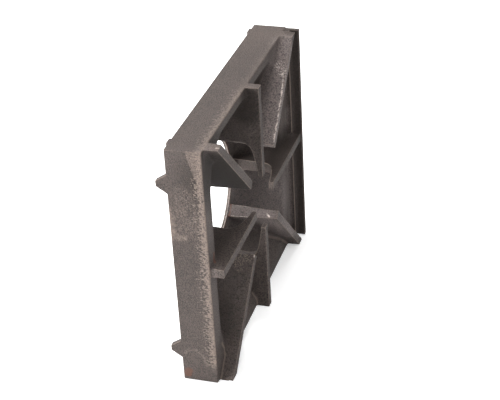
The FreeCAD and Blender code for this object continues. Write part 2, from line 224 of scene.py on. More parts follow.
def fill_roots(mesh, links, passes, pitch):
    """Fill inner corners to cast fillets, and leave flat faces and outer corners as they are."""
    points = read_points(mesh)
    for step in range(passes):
        if step % NORMALS_EVERY == 0:
            write_points(mesh, points)
            normals = read_points(mesh, "normal")
        move, lift = corner_lift(points, normals, links)
        weight = np.clip(lift / (FULL_LIFT * pitch), 0.0, 1.0)
        points += ROOT_STEP * weight[:, None] * move
    write_points(mesh, points)


def ease_arrises(mesh, links, passes):
    """Wear the outer corners down evenly."""
    points = read_points(mesh)
    for _ in range(passes):
        points += ARRIS_STEP * (neighbour_mean(points, links) - points)
    write_points(mesh, points)


def corner_masks(mesh, links, pitch):
    """Two values for each point: how far it is on an outer corner, and how far in an inner one."""
    _, lift = corner_lift(read_points(mesh), read_points(mesh, "normal"), links)
    lift /= pitch
    outer = np.clip(-lift * ARRIS_GAIN, 0.0, 1.0)
    inner = np.clip(lift * ROOT_GAIN, 0.0, 1.0)
    outer = 0.5 * (outer + neighbour_mean(outer, links))
    for _ in range(ROOT_SPREAD_PASSES):
        inner = (1.0 - ROOT_SPREAD) * inner + ROOT_SPREAD * neighbour_mean(inner, links)
    return outer, inner


def nearest_values(source_points, columns, points):
    """Carry values from the points of one mesh to the nearest points of another."""
    tree = kdtree.KDTree(len(source_points))
    for index, point in enumerate(source_points):
        tree.insert(point, index)
    tree.balance()
    found = np.array([tree.find(point)[1] for point in points])
    return [column[found] for column in columns]


def add_point_value(mesh, name, values):
    """Keep one number for each point, for the material to read."""
    layer = mesh.attributes.new(name, "FLOAT", "POINT")
    layer.data.foreach_set("value", values.astype(np.float32))


def hollows(points, scale):
    """Depth of the mould's hollows at each point, from 0 to 1."""
    level = np.array([noise.noise(Vector(point) * scale) for point in points])
    return np.clip(0.5 + 0.5 * level, 0.0, 1.0)


def sand_swell(mesh, depth):
    """Press the hollows of the sand mould into the surface, never outwards."""
    points = read_points(mesh)
    normals = read_points(mesh, "normal")
    pressed = hollows(points, WIDE_HOLLOWS) + FINE_DEPTH * hollows(points, FINE_HOLLOWS)
    points -= normals * (depth * pressed)[:, None]
    write_points(mesh, np.clip(points, np.array(CAST_LOW), np.array(CAST_HIGH)))


def build_casting(settings):
    """The whole casting as one closed mesh."""
    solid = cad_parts[CAST_NODE]
    mesh = solid.data.copy()
    mesh.name = "iron_casting"
    mesh.materials.clear()
    piece = bpy.data.objects.new("iron_casting", mesh)
    bpy.context.scene.collection.objects.link(piece)
    apply_modifier(piece, "WELD", merge_threshold=WELD_DISTANCE)
    apply_modifier(piece, "REMESH", mode="VOXEL", voxel_size=settings.pitch, adaptivity=0.0)

    dense = piece.data
    links = surface_links(dense)
    fill_roots(dense, links, settings.root_passes, settings.pitch)
    ease_arrises(dense, links, settings.arris_passes)
    outer, inner = corner_masks(dense, links, settings.pitch)
    dense_points = read_points(dense)

    triangle_count = sum(len(face.vertices) - 2 for face in dense.polygons)
    ratio = min(1.0, settings.triangles / triangle_count)
    apply_modifier(piece, "DECIMATE", decimate_type="COLLAPSE", ratio=ratio)
    sand_swell(piece.data, settings.swell)
    outer, inner = nearest_values(dense_points, (outer, inner), read_points(piece.data))
    add_point_value(piece.data, "arris", outer)
    add_point_value(piece.data, "root", inner)
    for face in piece.data.polygons:
        face.use_smooth = True
    piece.data.update()
    return piece


# Shader helpers


class NodeWork:
    """A node tree, with a short word for each step that its layers are made of."""

    def __init__(self, tree):
        self.tree = tree

    def place(self, kind, **settings):
        """A new node with some of its properties set."""
        node = self.tree.nodes.new(kind)
        for name, value in settings.items():
            setattr(node, name, value)
        return node

    def feed(self, socket, value):
        """Give an input a plain value, or link an output to it."""
        if hasattr(value, "is_output"):
            self.tree.links.new(value, socket)
        else:
            socket.default_value = value

    def calc(self, operation, *values, clamp=False):
        """One step of arithmetic."""
        node = self.place("ShaderNodeMath", operation=operation, use_clamp=clamp)
        for socket, value in zip(node.inputs, values):
            self.feed(socket, value)
        return node.outputs[0]

    def add(self, first, second):
        """The sum of two values."""
        return self.calc("ADD", first, second)

    def subtract(self, first, second):
        """The first value less the second."""
        return self.calc("SUBTRACT", first, second)

    def multiply(self, first, *others):
        """The product of several values."""
        for other in others:
            first = self.calc("MULTIPLY", first, other)
        return first

    def highest(self, first, *others):
        """The highest of several values."""
        for other in others:
            first = self.calc("MAXIMUM", first, other)
        return first

    def scaled(self, value, factor, base):
        """A value times a factor, on top of a base."""
        return self.calc("MULTIPLY_ADD", value, factor, base)

    def vector(self, operation, *vectors):
        """One step of arithmetic on vectors."""
        node = self.place("ShaderNodeVectorMath", operation=operation)
        for socket, value in zip(node.inputs, vectors):
            self.feed(socket, value)
        return node.outputs["Value" if operation in ("DOT_PRODUCT", "LENGTH") else "Vector"]

    def scale_vector(self, vector, factor):
        """A vector made longer or shorter by one factor."""
        node = self.place("ShaderNodeVectorMath", operation="SCALE")
        self.feed(node.inputs[0], vector)
        self.feed(node.inputs["Scale"], factor)
        return node.outputs["Vector"]

    def ramp(self, value, low, high, to_low=0.0, to_high=1.0):
        """Smooth step of a value between two limits."""
        node = self.place("ShaderNodeMapRange", interpolation_type="SMOOTHSTEP")
        for socket, number in zip(node.inputs, (value, low, high, to_low, to_high)):
            self.feed(socket, number)
        return node.outputs[0]

    def noise(self, vector, scale, detail=2.0, roughness=0.5):
        """A noise texture, as the outputs of its node."""
        node = self.place("ShaderNodeTexNoise")
        self.feed(node.inputs["Vector"], vector)
        self.feed(node.inputs["Scale"], scale)
        self.feed(node.inputs["Detail"], detail)
        self.feed(node.inputs["Roughness"], roughness)
        return node.outputs

    def cloud(self, vector, scale, detail=2.0, roughness=0.5):
        """Plain noise, from 0 to 1."""
        return self.noise(vector, scale, detail, roughness)["Fac"]

    def lay(self, mask, below, above):
        """Lay one colour over another through a mask."""
        node = self.place("ShaderNodeMix", data_type="RGBA")
        self.feed(node.inputs[0], mask)
        for socket, colour in ((node.inputs[6], below), (node.inputs[7], above)):
            if not hasattr(colour, "is_output"):
                colour = (*colour, 1.0)
            self.feed(socket, colour)
        return node.outputs[2]

    def use(self, group, **values):
        """Place a shared group with its own values."""
        node = self.place("ShaderNodeGroup", node_tree=group)
        for name, value in values.items():
            self.feed(node.inputs[name.replace("_", " ").capitalize()], value)
        return node.outputs


def shared_group(name, inputs, outputs):
    """An empty node group with named inputs and outputs, each (name, socket type, default)."""
    tree = bpy.data.node_groups.new(name, "ShaderNodeTree")
    for title, socket, default in inputs:
        made = tree.interface.new_socket(title, in_out="INPUT", socket_type=socket)
        if default is not None:
            made.default_value = default
    for title, socket in outputs:
        tree.interface.new_socket(title, in_out="OUTPUT", socket_type=socket)
    group = NodeWork(tree)
    return group, group.place("NodeGroupInput").outputs, group.place("NodeGroupOutput").inputs


FLOAT, VECTOR = "NodeSocketFloat", "NodeSocketVector"


def sand_grain_group():
    """Relief, pits and speckle of a sand-cast skin."""
    group, given, out = shared_group(
        "sand_grain",
        [("Place", VECTOR, None), ("Coarse", FLOAT, 600.0), ("Fine", FLOAT, 1300.0)],
        [("Relief", FLOAT), ("Speckle", FLOAT), ("Pits", FLOAT)])
    coarse = group.cloud(given["Place"], given["Coarse"], detail=3.0, roughness=0.7)
    fine = group.cloud(given["Place"], given["Fine"])
    cells = group.place("ShaderNodeTexVoronoi")
    group.feed(cells.inputs["Vector"], given["Place"])
    group.feed(cells.inputs["Scale"], group.multiply(given["Fine"], 0.5))
    grains = group.subtract(1.0, cells.outputs["Distance"])
    relief = group.add(group.multiply(coarse, 0.6), group.multiply(grains, 0.25))
    group.feed(out["Relief"], group.add(relief, group.multiply(fine, 0.15)))
    uneven = group.add(coarse, group.multiply(fine, 0.3))
    group.feed(out["Pits"], group.ramp(uneven, 0.6, 0.48))
    group.feed(out["Speckle"], group.ramp(coarse, 0.4, 0.6))
    return group.tree


def broken_group():
    """A mask broken up by noise, as rubbing and rust leave it."""
    group, given, out = shared_group(
        "broken_mask",
        [("Place", VECTOR, None), ("Mask", FLOAT, 0.0),
         ("Scale", FLOAT, 90.0), ("Spread", FLOAT, 0.25)],
        [("Mask", FLOAT)])
    cloud = group.cloud(given["Place"], given["Scale"], detail=5.0, roughness=0.65)
    level = group.subtract(group.add(given["Mask"], cloud), 1.0)
    lowest = group.multiply(given["Spread"], -1.0)
    group.feed(out["Mask"], group.ramp(level, lowest, given["Spread"]))
    return group.tree


def comb_group():
    """Short scores that run in from an edge, side by side, each of its own length.

    They are made of dots that grow fewer away from the edge. Gaps is the dark skin between them.
    """
    group, given, out = shared_group(
        "comb_scores",
        [("From edge", FLOAT, 0.0), ("Along", FLOAT, 0.0),
         ("Longest", FLOAT, 0.021), ("Pitch", FLOAT, 560.0)],
        [("Mask", FLOAT), ("Gaps", FLOAT)])
    from_edge = given["From edge"]
    on_face = group.place("ShaderNodeCombineXYZ")
    group.feed(on_face.inputs["X"], given["Along"])
    group.feed(on_face.inputs["Y"], group.multiply(from_edge, 0.5))
    dots = group.cloud(on_face.outputs[0], given["Pitch"], detail=2.0, roughness=0.6)
    on_edge = group.place("ShaderNodeCombineXYZ")
    group.feed(on_edge.inputs["X"], given["Along"])
    unequal = group.cloud(on_edge.outputs[0], 120.0, detail=3.0, roughness=0.6)
    length = group.multiply(group.ramp(unequal, 0.3, 0.7, 0.55, 1.0), given["Longest"])
    cover = group.calc("SUBTRACT", 1.0, group.calc("DIVIDE", from_edge, length), clamp=True)
    scores = group.ramp(group.scaled(cover, 0.3, dots), 0.6, 0.74)
    group.feed(out["Mask"], group.multiply(scores, group.ramp(cover, 0.0, 0.12)))
    band = group.multiply(group.ramp(from_edge, 0.001, 0.003), group.ramp(from_edge, 0.012, 0.008))
    group.feed(out["Gaps"], group.multiply(band, group.subtract(1.0, scores)))
    return group.tree


def stroke_group():
    """One soft stroke of wear along the straight line between two points."""
    group, given, out = shared_group(
        "worn_stroke",
        [("Place", VECTOR, None), ("Start", VECTOR, None),
         ("End", VECTOR, None), ("Width", FLOAT, 0.001)],
        [("Mask", FLOAT)])
    along = group.vector("SUBTRACT", given["End"], given["Start"])
    reach = group.vector("SUBTRACT", given["Place"], given["Start"])
    share = group.calc("DIVIDE", group.vector("DOT_PRODUCT", reach, along),
                       group.vector("DOT_PRODUCT", along, along), clamp=True)
    gap = group.vector("SUBTRACT", reach, group.scale_vector(along, share))
    distance = group.vector("LENGTH", gap)
    group.feed(out["Mask"], group.ramp(distance, given["Width"], group.multiply(given["Width"], 0.3)))
    return group.tree


# Places of the wear, the rust, and the painted light and shade, as points in millimetres: depth, then
# along the length, then height.
# The outer face of the near rail is at NEAR along the length.

MILLIMETRES = 1000.0
NEAR = -171.5


def chain(*points):
    """Pairs of points that join into one bent line."""
    return list(zip(points, points[1:]))


# Rubbed by handling: four marks on the near face, and a scuff by the tip of the near bottom fin
SMEAR = chain((-21.3, NEAR, 224.0), (-21.1, NEAR, 204.0), (-18.5, NEAR, 199.0),
              (-14.0, NEAR, 196.0), (-7.5, NEAR, 197.0))
LOW_ARC = chain((-20.5, NEAR, 39.0), (-13.0, NEAR, 43.5), (-5.4, NEAR, 44.5),
                (2.6, NEAR, 37.5), (6.6, NEAR, 25.0))
FOOT_EDGE = chain((-23.0, NEAR, 234.0), (-23.0, NEAR, 192.0))
SCUFFED_FIELD = chain((-6.0, NEAR, 249.0), (-10.0, NEAR, 228.0), (-4.0, NEAR, 212.0))
LOW_FIN_SCUFF = (chain((11.0, -61.5, 103.5), (18.0, -69.0, 96.0))
                 + chain((20.0, -60.8, 104.0), (27.0, -59.6, 104.5)))

# Rubbed strokes: their lines, width in metres, strength, and how the strokes are broken up
RUBBED_STROKES = (
    (SMEAR, 0.006, 0.9, "smudged"),
    (LOW_ARC, 0.0024, 0.45, "smudged"),
    (FOOT_EDGE, 0.003, 0.8, "even"),
    (SCUFFED_FIELD, 0.018, 0.45, "flecked"),
    (LOW_FIN_SCUFF, 0.008, 1.0, "flecked"),
)

# Painted highlights: pale lines along the roots of the three lower fins that show them
ROOT_HIGHLIGHTS = (
    chain((18.7, -148.5, 42.0), (18.8, -141.7, 29.9), (18.8, -144.0, 20.6), (18.8, -163.0, 1.6))
    + chain((12.9, -9.9, 18.7), (18.2, -10.6, 11.3), (18.8, -10.2, 2.0))
    + chain((6.3, 94.7, 37.7), (15.1, 106.1, 28.8), (18.8, 116.8, 19.5), (18.8, 134.0, 5.0))
)
ROOT_HIGHLIGHT_WIDTH = 0.0026

# Bright metal along the crest of the far top short fin, and painted highlights on worn metal at two
# fin tips and at the near corner
FIN_RUB = chain((35.0, 39.3, 202.8), (33.7, 68.6, 232.3),
                (33.1, 100.7, 264.4), (30.5, 107.5, 271.5))
FIN_RUB_WIDTH = 0.0014
FIN_RUB_END = chain((30.5, 108.0, 272.0), (25.5, 113.5, 277.5))
FIN_RUB_END_WIDTH = 0.009
TIP_GLINT = (chain((20.5, 44.2, 104.0), (24.0, 43.0, 101.2))
             + chain((34.2, -55.8, 107.8), (34.4, -57.3, 106.2)))
TIP_GLINT_WIDTH = 0.0016
CORNER_GLINT = chain((31.5, -158.5, 305.0), (34.0, -156.0, 305.0))
CORNER_GLINT_WIDTH = 0.0022

# Rust: a spot at the lower near corner, and a short line beside the near long fin
RUST_SPOT = chain((-18.5, NEAR, 8.0), (-16.5, NEAR, 13.5))
RUST_SPOT_WIDTH = 0.0075
RUST_LINE = chain((18.75, -153.0, 168.0), (18.75, -157.0, 157.0))
RUST_LINE_WIDTH = 0.004

# Broad patches of painted light and painted shade: first and last point, width in metres, strength
# Painted light: lighter patches on faces that catch more light
PAINTED_LIGHT = (
    ((-31.0, 80.0, 105.0), (-2.0, 122.0, 78.0), 0.055, 1.35),    # bowl's wall at the far bottom
    ((10.0, 42.0, 108.0), (28.0, 100.0, 45.0), 0.03, 1.25),      # far bottom short fin
    ((20.0, 158.5, 30.0), (20.0, 158.5, 190.0), 0.014, 0.8),     # rim beside the ledge
    ((19.0, -162.0, 60.0), (19.0, -164.0, 300.0), 0.016, 0.5),   # rim of the near rail
    ((-12.0, NEAR, 290.0), (2.0, NEAR, 262.0), 0.03, 0.2),       # upper end of the near face
    ((30.0, 60.0, 215.0), (32.0, 125.0, 285.0), 0.035, 1.5),     # far top short fin
)
# Painted shade: darker patches where these faces lie in shade
SHADED_PATCHES = (
    ((20.0, 50.0, 163.0), (25.0, 150.0, 163.0), 0.022, 0.75),    # above the far long fin
    ((36.0, 162.0, 0.0), (36.0, 162.0, 305.0), 0.024, 0.85),     # raised ledge
    ((36.0, -3.5, 195.0), (36.0, -3.5, 300.0), 0.012, 0.3),      # crest of the top long fin
    ((-10.0, -70.0, 45.0), (10.0, -120.0, 50.0), 0.04, 0.4),     # bowl's wall at the near bottom
    ((2.0, 87.0, 266.0), (12.0, 87.0, 284.0), 0.014, 0.8),       # bowl's wall by the far top short fin
)
# Painted shadow: darker patches on the shaded faces of a fin and in crevices by the rim
SHADOWED_PATCHES = (
    ((15.0, -70.0, 210.0), (20.0, -140.0, 270.0), 0.06, 0.97),   # faces of the near top short fin
    ((20.0, -167.0, 306.0), (20.0, -166.0, 290.0), 0.006, 0.9),  # upper near corner of the rim
    ((19.0, -9.4, 303.0), (19.0, -9.4, 272.0), 0.024, 0.75),     # root of the top long fin
)

# A rail's own wear is nothing this far behind its outer face, and whole this far behind it
OFF_FACE = 0.0022
ON_FACE = 0.0008

# Ranges over which a layer sets in, from nothing to whole, in metres. First, of depth:
BELOW_CREST = (CREST_DEPTH - 0.0006, CREST_DEPTH - 0.0014)
ABOVE_RIM = (RIM_DEPTH, RIM_DEPTH + 0.002)
PAST_RIM_EDGE = (RIM_DEPTH + 0.0002, RIM_DEPTH + 0.0012)
BELOW_FINS = (-0.002, -0.005)
ON_BOWL_FLOOR = (-0.026, -0.029)

# Of distance from the burner axis:
HOLE_EDGE = (HOLE_RADIUS + 0.003, HOLE_RADIUS + 0.001)
RUST_RING_INSIDE = (HOLE_RADIUS + 0.001, HOLE_RADIUS + 0.002)
RUST_RING_OUTSIDE = (HOLE_RADIUS + 0.006, HOLE_RADIUS + 0.003)

# Of height on the near face, and of length on the top face, where the far end is paler as a whole:
NEAR_SCORES_FROM = (0.014, 0.03)
TOP_SCORES_FROM = (0.0, -0.03)
FAR_END_OF_TOP = (0.06, 0.16)
TOP_SCORE_LENGTH = 0.018

# The rubbed patch at the top of the near face: heights where it sets in, the heights over which
# its slanting side moves towards the foot, how far it moves, and where it lies from that side
PATCH_FROM = (0.245, 0.262)
PATCH_SLANT = (0.26, 0.305)
PATCH_SHIFT = (-0.0115, -0.0215)
PATCH_SIDE = (0.0225, 0.0235)

# Colours: how warmth turns red, green and blue, and how much the painted light adds to each of them
WARM_TURN = (1.0, 0.0, -0.6)
LIGHT_TINT = (0.68, 0.76, 0.86)

# How far a ragged stroke is pushed to and fro, in metres
JITTER = 0.006

# Noise scales, in waves per metre: broad drifts and stains, and the finer breaks in the wear
DRIFT_SCALE = 14.0
STAIN_SCALE = 30.0
MOTTLE_SCALE = 150.0
ARRIS_SCALE = 150.0
SMUDGE_SCALE = 180.0
RUST_SCALE = 240.0
JITTER_SCALE = 260.0
FLECK_SCALE = 650.0

# Shades of the iron, as shares of its own colour
DARK_DRIFT = 0.8
PALE_DRIFT = 1.2
PIT_SHADE = 0.4
GRAIN_SHADE = 2.1
GAP_SHADE = 0.55

# Strengths of the layers, from 0 to 1
# Painted shade in the inner corners
ROOT_SHADE = 0.85
GAP_STRENGTH = 0.45
PATCH_STRENGTH = 0.75
TOP_SCORE_STRENGTH = 0.6
FAR_END_STRENGTH = 0.12
# Painted highlights along the roots
ROOT_HIGHLIGHT_STRENGTH = 0.6
ARRIS_STRENGTH = 0.75
# A painted highlight at the near corner
CORNER_GLINT_STRENGTH = 0.6
RUST_SPOT_STRENGTH = 0.8
STAIN_STRENGTH = 0.6
RUST_STRENGTH = 0.6

# What is left of the scores past the rim's edge and on the far stretch, and of rubbing in a pit
SCORES_LEFT = 0.3
RUBBED_IN_PITS = 0.3

# Gloss and relief: roughness of the skin, how mottling and polish change it, depth of the relief
SKIN_ROUGHNESS = 0.6
MOTTLE_ROUGHNESS = 0.2
POLISH = 0.14
RELIEF_DEPTH = 0.0025
POLISHED_RELIEF = 0.2


class IronSkin(NodeWork):
    """Cast iron: sand grain, painted shade in the corners and on shaded faces, painted light and
    highlights, pale rubbed arrises, comb scores and rust.
    """

    def __init__(self, tree, settings):
        super().__init__(tree)
        self.settings = settings
        self.where = self.place("ShaderNodeTexCoord").outputs["Object"]
        axes = self.place("ShaderNodeSeparateXYZ")
        self.feed(axes.inputs[0], self.where)
        self.depth, self.across, self.height = axes.outputs
        self.arris = self.place("ShaderNodeAttribute", attribute_name="arris").outputs["Fac"]
        self.root = self.place("ShaderNodeAttribute", attribute_name="root").outputs["Fac"]

        self.grain = self.use(sand_grain_group(), place=self.where)
        self.broken = broken_group()
        self.comb = comb_group()
        self.stroke = stroke_group()
        self.mottle = self.cloud(self.where, MOTTLE_SCALE, detail=5.0, roughness=0.8)
        self.flecks = self.ramp(self.cloud(self.where, FLECK_SCALE), 0.48, 0.62)
        patchy = self.cloud(self.where, SMUDGE_SCALE, detail=3.0, roughness=0.6)
        self.smudge = self.ramp(patchy, 0.35, 0.65, 0.25, 1.0)
        sway = self.noise(self.where, JITTER_SCALE)["Color"]
        push = self.vector("SUBTRACT", sway, (0.5, 0.5, 0.5))
        self.ragged = self.vector("MULTIPLY_ADD", push, (JITTER, JITTER, JITTER), self.where)

        self.near_face = self.ramp(self.across, CAST_LOW[1] + OFF_FACE, CAST_LOW[1] + ON_FACE)
        self.top_face = self.ramp(self.height, CAST_HIGH[2] - OFF_FACE, CAST_HIGH[2] - ON_FACE)
        beside_axis = self.subtract(self.across, BURNER_AXIS[0])
        above_axis = self.subtract(self.height, BURNER_AXIS[1])
        square = self.add(self.multiply(beside_axis, beside_axis),
                          self.multiply(above_axis, above_axis))
        self.radius = self.calc("SQRT", square)

    def tinted(self, share, warmth=0.0):
        """The iron's colour, made lighter or darker, and warmer."""
        return tuple(channel * share * (1.0 + warmth * turn)
                     for channel, turn in zip(self.settings.iron, WARM_TURN))

    def strokes(self, where, lines, width):
        """The strongest of several strokes, each a pair of points in millimetres."""
        masks = []
        for line in lines:
            start, end = (tuple(value / MILLIMETRES for value in point) for point in line)
            stroke = self.use(self.stroke, place=where, start=start, end=end, width=width)
            masks.append(stroke["Mask"])
        return self.highest(0.0, *masks)

    def patches(self, spots):
        """The strongest of several wide, soft patches."""
        masks = [self.multiply(self.strokes(self.where, [(first, last)], width), strength)
                 for first, last, width, strength in spots]
        return self.highest(0.0, *masks)

    def cast_skin(self):
        """The iron's own colour: light and dark drifts, dark pits and pale grains."""
        drift = self.cloud(self.where, DRIFT_SCALE, detail=4.0, roughness=0.6)
        tone = self.add(self.multiply(drift, 0.4), self.multiply(self.mottle, 0.6))
        pale = self.tinted(PALE_DRIFT, warmth=0.03)
        colour = self.lay(self.ramp(tone, 0.38, 0.62), self.tinted(DARK_DRIFT), pale)
        raised = self.ramp(self.depth, *ABOVE_RIM)
        pits = self.multiply(self.grain["Pits"], self.scaled(raised, 0.35, 0.5))
        speckle = self.multiply(self.grain["Speckle"], self.scaled(raised, 0.3, 0.5))
        colour = self.lay(pits, colour, self.tinted(PIT_SHADE))
        return self.lay(speckle, colour, self.tinted(GRAIN_SHADE, warmth=0.06))

    def with_painted_light_and_shade(self, colour):
        """Paint light over the faces that catch more light, and paint shade into the corners and over
        the shaded faces.
        """
        # Painted light: lighter patches where the faces catch more light
        light_boost = self.scale_vector(LIGHT_TINT, self.patches(PAINTED_LIGHT))
        colour = self.vector("MULTIPLY_ADD", colour, light_boost, colour)
        # Painted shade: in the root fillets, over the shaded patches and on shaded fin faces
        below_top_face = self.ramp(self.height, CAST_HIGH[2] - ON_FACE, CAST_HIGH[2] - OFF_FACE)
        below_crest = self.multiply(self.ramp(self.depth, *BELOW_CREST), below_top_face)
        shadowed = self.multiply(self.patches(SHADOWED_PATCHES), below_crest)
        painted_shade = self.highest(self.patches(SHADED_PATCHES), self.multiply(self.root, ROOT_SHADE), shadowed)
        return self.lay(painted_shade, colour, tuple(self.settings.painted_shade))

    def rail_scores(self):
        """Comb scores on the near and the top rail's outer face, and the gaps between the first."""
        from_rim = self.subtract(RIM_DEPTH, self.depth)
        near = self.use(self.comb, from_edge=from_rim, along=self.height)
        top = self.use(self.comb, from_edge=from_rim, along=self.across, longest=TOP_SCORE_LENGTH)
        on_rail = self.ramp(self.depth, *PAST_RIM_EDGE, 1.0, SCORES_LEFT)
        near_stretch = self.ramp(self.height, *NEAR_SCORES_FROM)
        near_stretch = self.multiply(near_stretch, self.near_face, on_rail)
        top_stretch = self.ramp(self.across, *TOP_SCORES_FROM, SCORES_LEFT, 1.0)
        top_stretch = self.multiply(top_stretch, on_rail)
        return (self.multiply(near["Mask"], near_stretch),
                self.multiply(top["Mask"], top_stretch, self.top_face),
                self.multiply(near["Gaps"], near_stretch))

    def corner_patch(self):
        """The rubbed patch at the top of the near face, which widens upwards."""
        from_side = self.subtract(self.depth, self.ramp(self.height, *PATCH_SLANT, *PATCH_SHIFT))
        patch = self.multiply(self.ramp(from_side, *PATCH_SIDE),
                              self.ramp(self.height, *PATCH_FROM))
        return self.multiply(patch, self.near_face, self.scaled(self.flecks, 0.5, 0.5))

    def rubbed(self, colour):
        """Lay the pale marks of handling over the skin, with dark gaps between the scores, and painted
        highlights along the roots of the lower fins.
        """
        near_scores, top_scores, gaps = self.rail_scores()
        colour = self.lay(self.multiply(gaps, GAP_STRENGTH), colour, self.tinted(GAP_SHADE))
        far_end = self.ramp(self.across, *FAR_END_OF_TOP, 0.0, FAR_END_STRENGTH)
        marks = self.highest(near_scores,
                             self.multiply(self.corner_patch(), PATCH_STRENGTH),
                             self.multiply(far_end, self.top_face),
                             self.multiply(top_scores, TOP_SCORE_STRENGTH))
        breaking = {"smudged": self.smudge, "even": 1.0, "flecked": self.flecks}
        for lines, width, strength, broken_up in RUBBED_STROKES:
            stroke = self.strokes(self.ragged, lines, width)
            marks = self.highest(marks, self.multiply(stroke, breaking[broken_up], strength))
        marks = self.multiply(marks, self.ramp(self.grain["Pits"], 0.0, 0.5, 1.0, RUBBED_IN_PITS))
        # Painted highlights along the roots of the lower fins
        root_highlights = self.strokes(self.where, ROOT_HIGHLIGHTS, ROOT_HIGHLIGHT_WIDTH)
        marks = self.highest(marks, self.multiply(root_highlights, ROOT_HIGHLIGHT_STRENGTH))
        return self.lay(marks, colour, tuple(self.settings.rubbed))

    def worn_arrises(self):
        """Where the outer corners are rubbed, broken up along their length."""
        corners = self.ramp(self.arris, 0.15, 0.8)
        broken = self.use(self.broken, place=self.where, mask=corners, scale=ARRIS_SCALE, spread=0.35)
        return broken["Mask"]

    def bare_metal_and_glints(self):
        """Where the iron is worn bright, at the hole's edge and along one fin's crest, with a few
        painted highlights (glints) on worn fin tips and the near corner.
        """
        hole_edge = self.multiply(self.ramp(self.radius, *HOLE_EDGE),
                                  self.ramp(self.depth, *BELOW_FINS))
        hole_edge = self.multiply(self.ramp(self.arris, 0.15, 0.5), hole_edge)
        crest = self.strokes(self.ragged, FIN_RUB, FIN_RUB_WIDTH)
        crest_end = self.strokes(self.ragged, FIN_RUB_END, FIN_RUB_END_WIDTH)
        crest_end = self.multiply(crest_end, self.flecks)
        # Painted highlights (glints) at two fin tips
        tips = self.strokes(self.where, TIP_GLINT, TIP_GLINT_WIDTH)
        # A painted highlight at the near corner
        corner = self.strokes(self.ragged, CORNER_GLINT, CORNER_GLINT_WIDTH)
        corner = self.multiply(corner, CORNER_GLINT_STRENGTH)
        bright = self.highest(hole_edge, crest, crest_end, tips, corner)
        return self.multiply(bright, self.ramp(self.grain["Speckle"], 0.1, 0.5, 0.45, 1.0))

    def rusted(self, colour):
        """Lay rust over the lower near corner, around the hole and over some of the roots."""
        ring = self.multiply(self.ramp(self.radius, *RUST_RING_INSIDE),
                             self.ramp(self.radius, *RUST_RING_OUTSIDE),
                             self.ramp(self.depth, *ON_BOWL_FLOOR))
        spot = self.strokes(self.ragged, RUST_SPOT, RUST_SPOT_WIDTH)
        line = self.strokes(self.where, RUST_LINE, RUST_LINE_WIDTH)
        patchy = self.cloud(self.where, STAIN_SCALE, detail=3.0, roughness=0.55)
        patchy = self.ramp(patchy, 0.5, 0.75, 0.0, STAIN_STRENGTH)
        places = self.highest(self.multiply(spot, RUST_SPOT_STRENGTH),
                              self.multiply(ring, RUST_SPOT_STRENGTH),
                              line,
                              self.multiply(self.root, patchy))
        rust = self.use(self.broken, place=self.where, mask=places, scale=RUST_SCALE, spread=0.3)
        rust = self.multiply(rust["Mask"], RUST_STRENGTH)
        return self.lay(rust, colour, tuple(self.settings.rust))


def build_iron(settings):
    """The cast-iron material, from its skin up to the rust."""
    material = bpy.data.materials.new("cast_iron")
    material.use_nodes = True
    shader = material.node_tree.nodes["Principled BSDF"]
    skin = IronSkin(material.node_tree, settings)

    colour = skin.rubbed(skin.with_painted_light_and_shade(skin.cast_skin()))
    edges = skin.worn_arrises()
    colour = skin.lay(skin.multiply(edges, ARRIS_STRENGTH), colour, tuple(settings.rubbed))
    # Bright metal, with painted highlights
    bright = skin.bare_metal_and_glints()
    colour = skin.rusted(skin.lay(bright, colour, tuple(settings.bare_and_glint)))
    skin.feed(shader.inputs["Base Color"], colour)

    dull = skin.add(SKIN_ROUGHNESS, skin.multiply(skin.mottle, MOTTLE_ROUGHNESS))
    polish = skin.multiply(skin.highest(bright, edges), POLISH)
    skin.feed(shader.inputs["Roughness"], skin.subtract(dull, polish))
    shader.inputs["Metallic"].default_value = 0.0
    shader.inputs["Specular IOR Level"].default_value = 0.5

    relief = skin.place("ShaderNodeBump")
    relief.inputs["Strength"].default_value = 1.0
    relief.inputs["Distance"].default_value = RELIEF_DEPTH
    worn_off = skin.multiply(bright, POLISHED_RELIEF)
    skin.feed(relief.inputs["Height"], skin.subtract(skin.grain["Relief"], worn_off))
    skin.feed(shader.inputs["Normal"], relief.outputs[0])
    return material


# Studio

PART_MIDDLE = Vector((0.0, 0.0, 0.15))
LIGHT_DISTANCE = 2.6
LIGHT_SIZE = 1.0

# Each light: its name, the setting of its power, its turn about the vertical, its angle of height
LIGHTS = (
    ("key_light", "key", 225.0, 15.0),
    ("overhead_light", "overhead", 0.0, 90.0),
    ("rear_light", "rear", 135.0, 50.0),
    ("fill_light", "fill", 335.0, 50.0),
)

# The floor's half width and roughness, how far from the part the painted contact shadow reaches, and
# the share of the glow that the floor has right beside it, which paints that shadow
FLOOR_REACH = 6.0
FLOOR_ROUGHNESS = 0.9
PAINTED_SHADOW_REACH = 0.045
PAINTED_SHADOW_GLOW = 0.6
WHITE = (1.0, 1.0, 1.0, 1.0)

# The camera, fitted to the casting's corners: its place and its three directions, in metres, and
# its lens, in millimetres
CAMERA_PLACE = Vector((0.446022, -1.315611, 0.956887))
CAMERA_RIGHT = Vector((0.957498, 0.284217, -0.049185))
CAMERA_DOWN = Vector((0.102877, -0.495810, -0.862316))
CAMERA_AHEAD = Vector((-0.269471, 0.820605, -0.503976))
SENSOR_WIDTH = 36.0
FOCAL_LENGTH = 94.976
CAMERA_SEES_TO = 30.0


def add_panel_light(name, turn, rise, power):
    """A soft square light that faces the part, placed by its turn and its angle of height."""
    turn, rise = math.radians(turn), math.radians(rise)
    flat = LIGHT_DISTANCE * math.cos(rise)
    offset = Vector((flat * math.cos(turn), flat * math.sin(turn), LIGHT_DISTANCE * math.sin(rise)))
    lamp = bpy.data.lights.new(name, "AREA")
    lamp.shape = "SQUARE"
    lamp.size = LIGHT_SIZE
    lamp.energy = power
    holder = bpy.data.objects.new(name, lamp)
    holder.location = PART_MIDDLE + offset
    holder.rotation_euler = (-offset).to_track_quat("-Z", "Y").to_euler()
    bpy.context.scene.collection.objects.link(holder)


